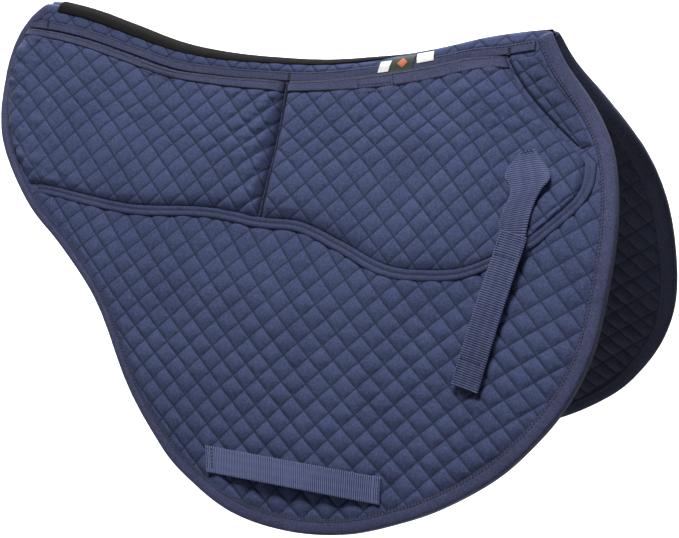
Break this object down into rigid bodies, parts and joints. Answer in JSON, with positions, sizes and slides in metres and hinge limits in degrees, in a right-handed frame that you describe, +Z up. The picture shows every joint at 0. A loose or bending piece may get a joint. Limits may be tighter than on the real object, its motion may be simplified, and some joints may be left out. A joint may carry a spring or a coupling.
{
  "type": "saddle pad",
  "caption": "Quilted correction saddle pad draped over its spine seam, with shim pockets holding foam inserts, touch-fastened billet loops and girth keeper loops.",
  "frame": {"origin": "on top of the spine seam at the lowest point of the ridge, where the pad rests over the back", "axes": "+X towards the horse's head along the spine, +Y to the horse's left, +Z up"},
  "size_m": [0.7324, 0.3784, 0.4849],
  "materials": {
    "quilted_cotton": "quilted cotton twill",
    "lining_cotton": "quilted lining, dark",
    "batting": "polyester wadding",
    "binding_tape": "stitched cotton binding",
    "mouth_tape": "ribbed tape",
    "webbing": "ribbed webbing",
    "spine_webbing": "black woven band",
    "touch_fastener": "hook and loop",
    "thread": "dense bar-tack stitching",
    "foam": "closed-cell foam",
    "label_white": "satin label",
    "label_woven": "woven label"
  },
  "bodies": {
    "spine": {"spine_core": "quilted_cotton", "spine_band": "spine_webbing", "spine_lining": "lining_cotton"},
    "right_panel": {"right_shell": "quilted_cotton", "right_batting": "batting", "right_lining": "lining_cotton", "right_binding": "binding_tape", "right_upper_tape": "mouth_tape", "right_rear_pocket": "quilted_cotton", "right_front_pocket": "quilted_cotton", "right_wither_panel": "quilted_cotton", "right_rear_mouth_tape": "mouth_tape", "right_front_mouth_tape": "mouth_tape", "right_hem_tape": "mouth_tape", "right_divider_tape": "quilted_cotton", "right_hook_tabs": "touch_fastener", "right_loop_tabs": "touch_fastener", "right_bar_tacks": "thread", "right_billet_anchor": "webbing", "right_girth_strap": "webbing", "right_girth_ends": "webbing", "care_label": "label_white", "woven_label": "label_woven"},
    "right_rear_insert": {"right_rear_insert": "foam"},
    "right_front_insert": {"right_front_insert": "foam"},
    "right_billet": {"right_billet_strap": "webbing", "right_billet_loop_patch": "touch_fastener"},
    "right_billet_tail": {"right_billet_tail": "webbing"},
    "left_panel": {"left_shell": "quilted_cotton", "left_batting": "batting", "left_lining": "lining_cotton", "left_binding": "binding_tape", "left_upper_tape": "mouth_tape", "left_rear_pocket": "quilted_cotton", "left_front_pocket": "quilted_cotton", "left_wither_panel": "quilted_cotton", "left_rear_mouth_tape": "mouth_tape", "left_front_mouth_tape": "mouth_tape", "left_hem_tape": "mouth_tape", "left_divider_tape": "quilted_cotton", "left_hook_tabs": "touch_fastener", "left_loop_tabs": "touch_fastener", "left_bar_tacks": "thread", "left_billet_anchor": "webbing", "left_girth_strap": "webbing", "left_girth_ends": "webbing"},
    "left_rear_insert": {"left_rear_insert": "foam"},
    "left_front_insert": {"left_front_insert": "foam"},
    "left_billet": {"left_billet_strap": "webbing", "left_billet_loop_patch": "touch_fastener"},
    "left_billet_tail": {"left_billet_tail": "webbing"}
  },
  "joints": [
    {"name": "right_panel_spread", "type": "hinge", "parent": "spine", "child": "right_panel", "pos_m": [-0.354, 0, 0.07], "axis": [-0.9992, 0, 0.0408], "range_deg": [0, 15], "deforming": ["spine_band"]},
    {"name": "right_rear_insert_slide", "type": "slide", "parent": "right_panel", "child": "right_rear_insert", "axis": [0, 0.3795, 0.9252], "range_m": [0, 0.05]},
    {"name": "right_front_insert_slide", "type": "slide", "parent": "right_panel", "child": "right_front_insert", "axis": [0, 0.3795, 0.9252], "range_m": [0, 0.05]},
    {"name": "right_billet_lift", "type": "hinge", "parent": "right_panel", "child": "right_billet", "pos_m": [0.236, -0.06847, -0.09653], "axis": [-1, 0, 0], "range_deg": [0, 80]},
    {"name": "right_billet_tail_open", "type": "hinge", "parent": "right_billet", "child": "right_billet_tail", "pos_m": [0.219, -0.14254, -0.26853], "axis": [1, 0, 0], "range_deg": [0, 120]},
    {"name": "left_panel_spread", "type": "hinge", "parent": "spine", "child": "left_panel", "pos_m": [-0.354, 0, 0.07], "axis": [0.9992, 0, -0.0408], "range_deg": [0, 15], "deforming": ["spine_band"]},
    {"name": "left_rear_insert_slide", "type": "slide", "parent": "left_panel", "child": "left_rear_insert", "axis": [0, -0.3795, 0.9252], "range_m": [0, 0.05]},
    {"name": "left_front_insert_slide", "type": "slide", "parent": "left_panel", "child": "left_front_insert", "axis": [0, -0.3795, 0.9252], "range_m": [0, 0.05]},
    {"name": "left_billet_lift", "type": "hinge", "parent": "left_panel", "child": "left_billet", "pos_m": [0.236, 0.06847, -0.09653], "axis": [1, 0, 0], "range_deg": [0, 80]},
    {"name": "left_billet_tail_open", "type": "hinge", "parent": "left_billet", "child": "left_billet_tail", "pos_m": [0.219, 0.14254, -0.26853], "axis": [-1, 0, 0], "range_deg": [0, 120]}
  ]
}
